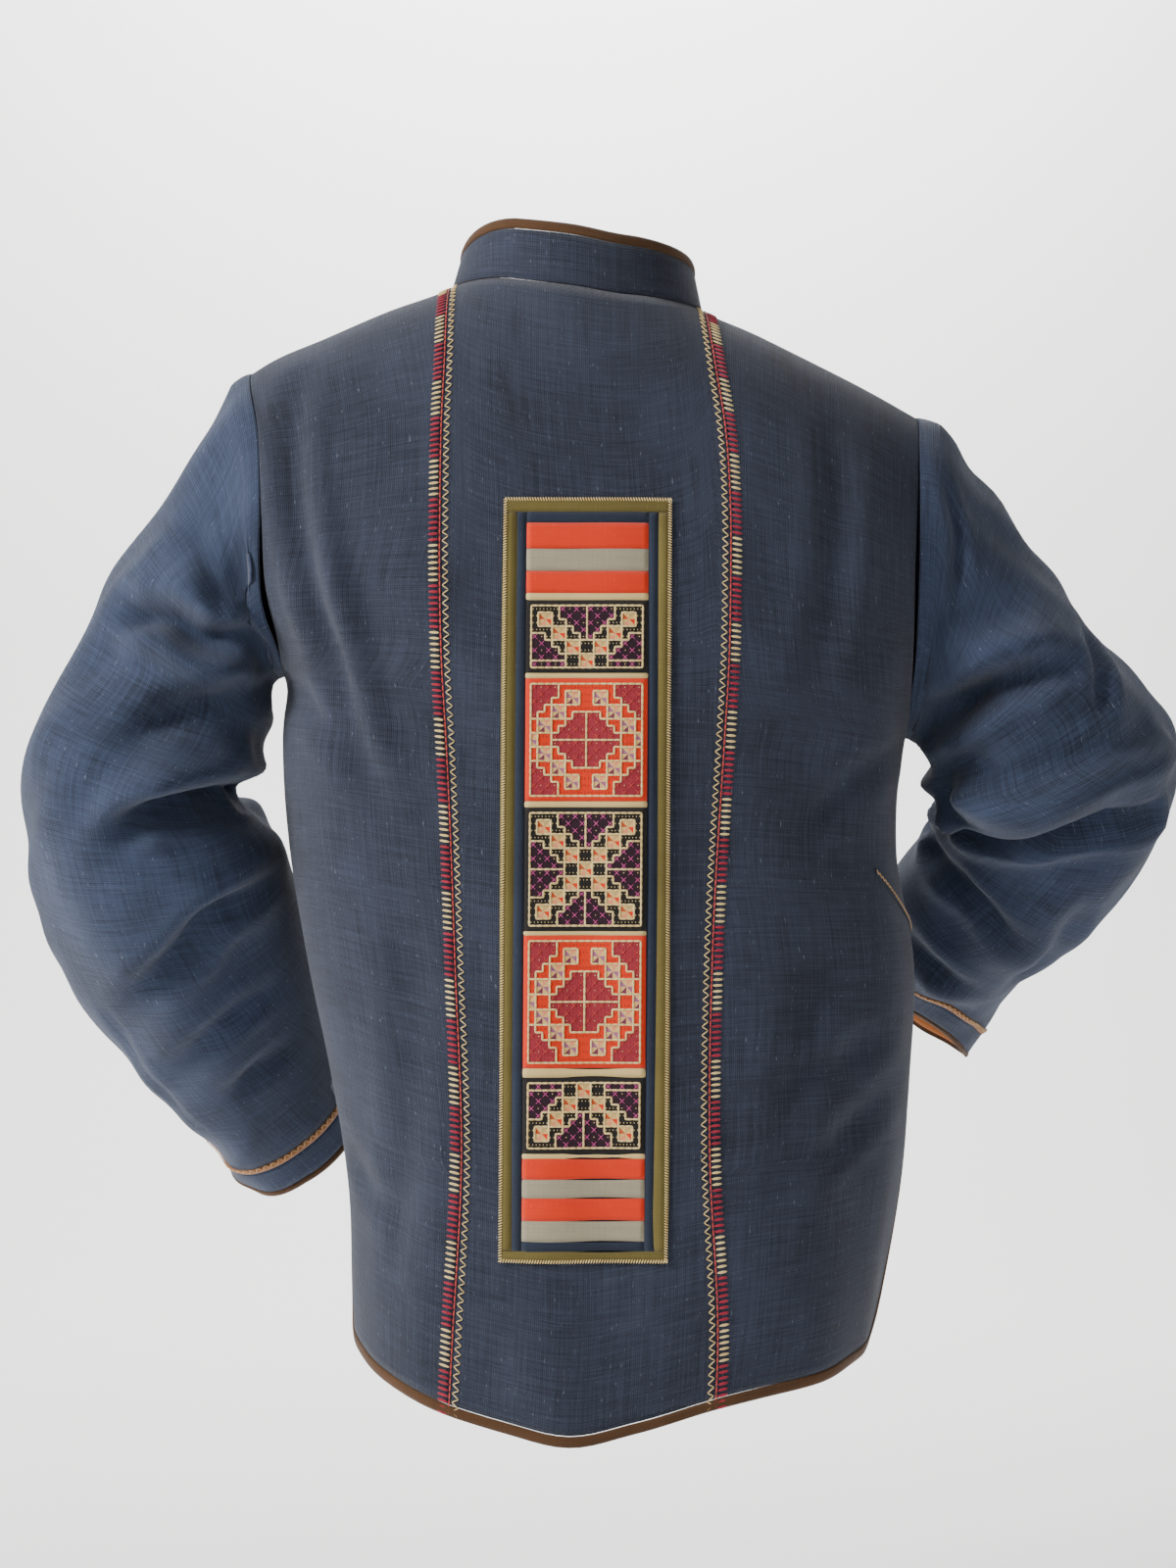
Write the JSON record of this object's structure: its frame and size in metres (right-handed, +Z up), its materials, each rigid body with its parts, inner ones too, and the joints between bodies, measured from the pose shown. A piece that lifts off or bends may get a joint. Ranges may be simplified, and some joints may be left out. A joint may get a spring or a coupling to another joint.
{
  "type": "embroidered jacket",
  "caption": "Hollow worn jacket of indigo hemp with stand collar, bound edges, set-in sleeves and an embroidered patchwork strip down the back.",
  "frame": {"origin": "middle of the neck opening at the height of the collar's seam, between the tops of the shoulders, where the wearer's shoulders carry the jacket", "axes": "+Z up, +Y out of the back of the jacket, +X to the wearer's left"},
  "size_m": [0.7006, 0.3477, 0.7041],
  "materials": {
    "indigo_hemp": "handwoven indigo hemp, matt",
    "brown_binding": "brown cotton binding, matt",
    "copper_trim": "copper-brown cotton trim",
    "orange_facing": "orange-brown cotton facing",
    "navy_cotton": "faded navy cotton",
    "olive_cotton": "olive-gold cotton",
    "orange_cotton": "orange-red cotton",
    "grey_cotton": "beige-grey cotton",
    "cream_cotton": "cream cotton",
    "black_cotton": "black cotton"
  },
  "bodies": {
    "root": {"side_left": "indigo_hemp", "side_right": "indigo_hemp", "back_centre": "indigo_hemp", "front_left": "indigo_hemp", "front_right": "indigo_hemp", "hem_binding_back": "brown_binding", "front_binding_left": "brown_binding", "front_binding_right": "brown_binding", "sleeve_left_upper": "indigo_hemp", "sleeve_left_lower": "indigo_hemp", "cuff_trim_left": "copper_trim", "cuff_left": "indigo_hemp", "cuff_binding_left": "brown_binding", "cuff_facing_left": "orange_facing", "sleeve_right_upper": "indigo_hemp", "sleeve_right_lower": "indigo_hemp", "cuff_trim_right": "copper_trim", "cuff_right": "indigo_hemp", "cuff_binding_right": "brown_binding", "cuff_facing_right": "orange_facing", "collar": "indigo_hemp", "collar_binding": "brown_binding", "pocket_mouth_left": "navy_cotton", "pocket_mouth_right": "navy_cotton", "olive_top": "olive_cotton", "navy_top": "navy_cotton", "orange_1": "orange_cotton", "grey_1": "grey_cotton", "orange_2": "orange_cotton", "piping_1": "cream_cotton", "motif_1": "black_cotton", "piping_2": "cream_cotton", "motif_2": "orange_cotton", "piping_3": "cream_cotton", "motif_3": "black_cotton", "piping_4": "cream_cotton", "motif_4": "orange_cotton", "piping_5": "cream_cotton", "motif_5": "black_cotton", "piping_6": "cream_cotton", "orange_3": "orange_cotton", "grey_2": "grey_cotton", "orange_4": "orange_cotton", "grey_3": "grey_cotton", "navy_foot": "navy_cotton", "olive_foot": "olive_cotton", "olive_left": "olive_cotton", "navy_left": "navy_cotton", "olive_right": "olive_cotton", "navy_right": "navy_cotton", "button_1": "brown_binding", "button_loop_1": "brown_binding", "button_2": "brown_binding", "button_loop_2": "brown_binding", "button_3": "brown_binding", "button_loop_3": "brown_binding", "button_4": "brown_binding", "button_loop_4": "brown_binding", "button_5": "brown_binding", "button_loop_5": "brown_binding"}
  },
  "joints": []
}
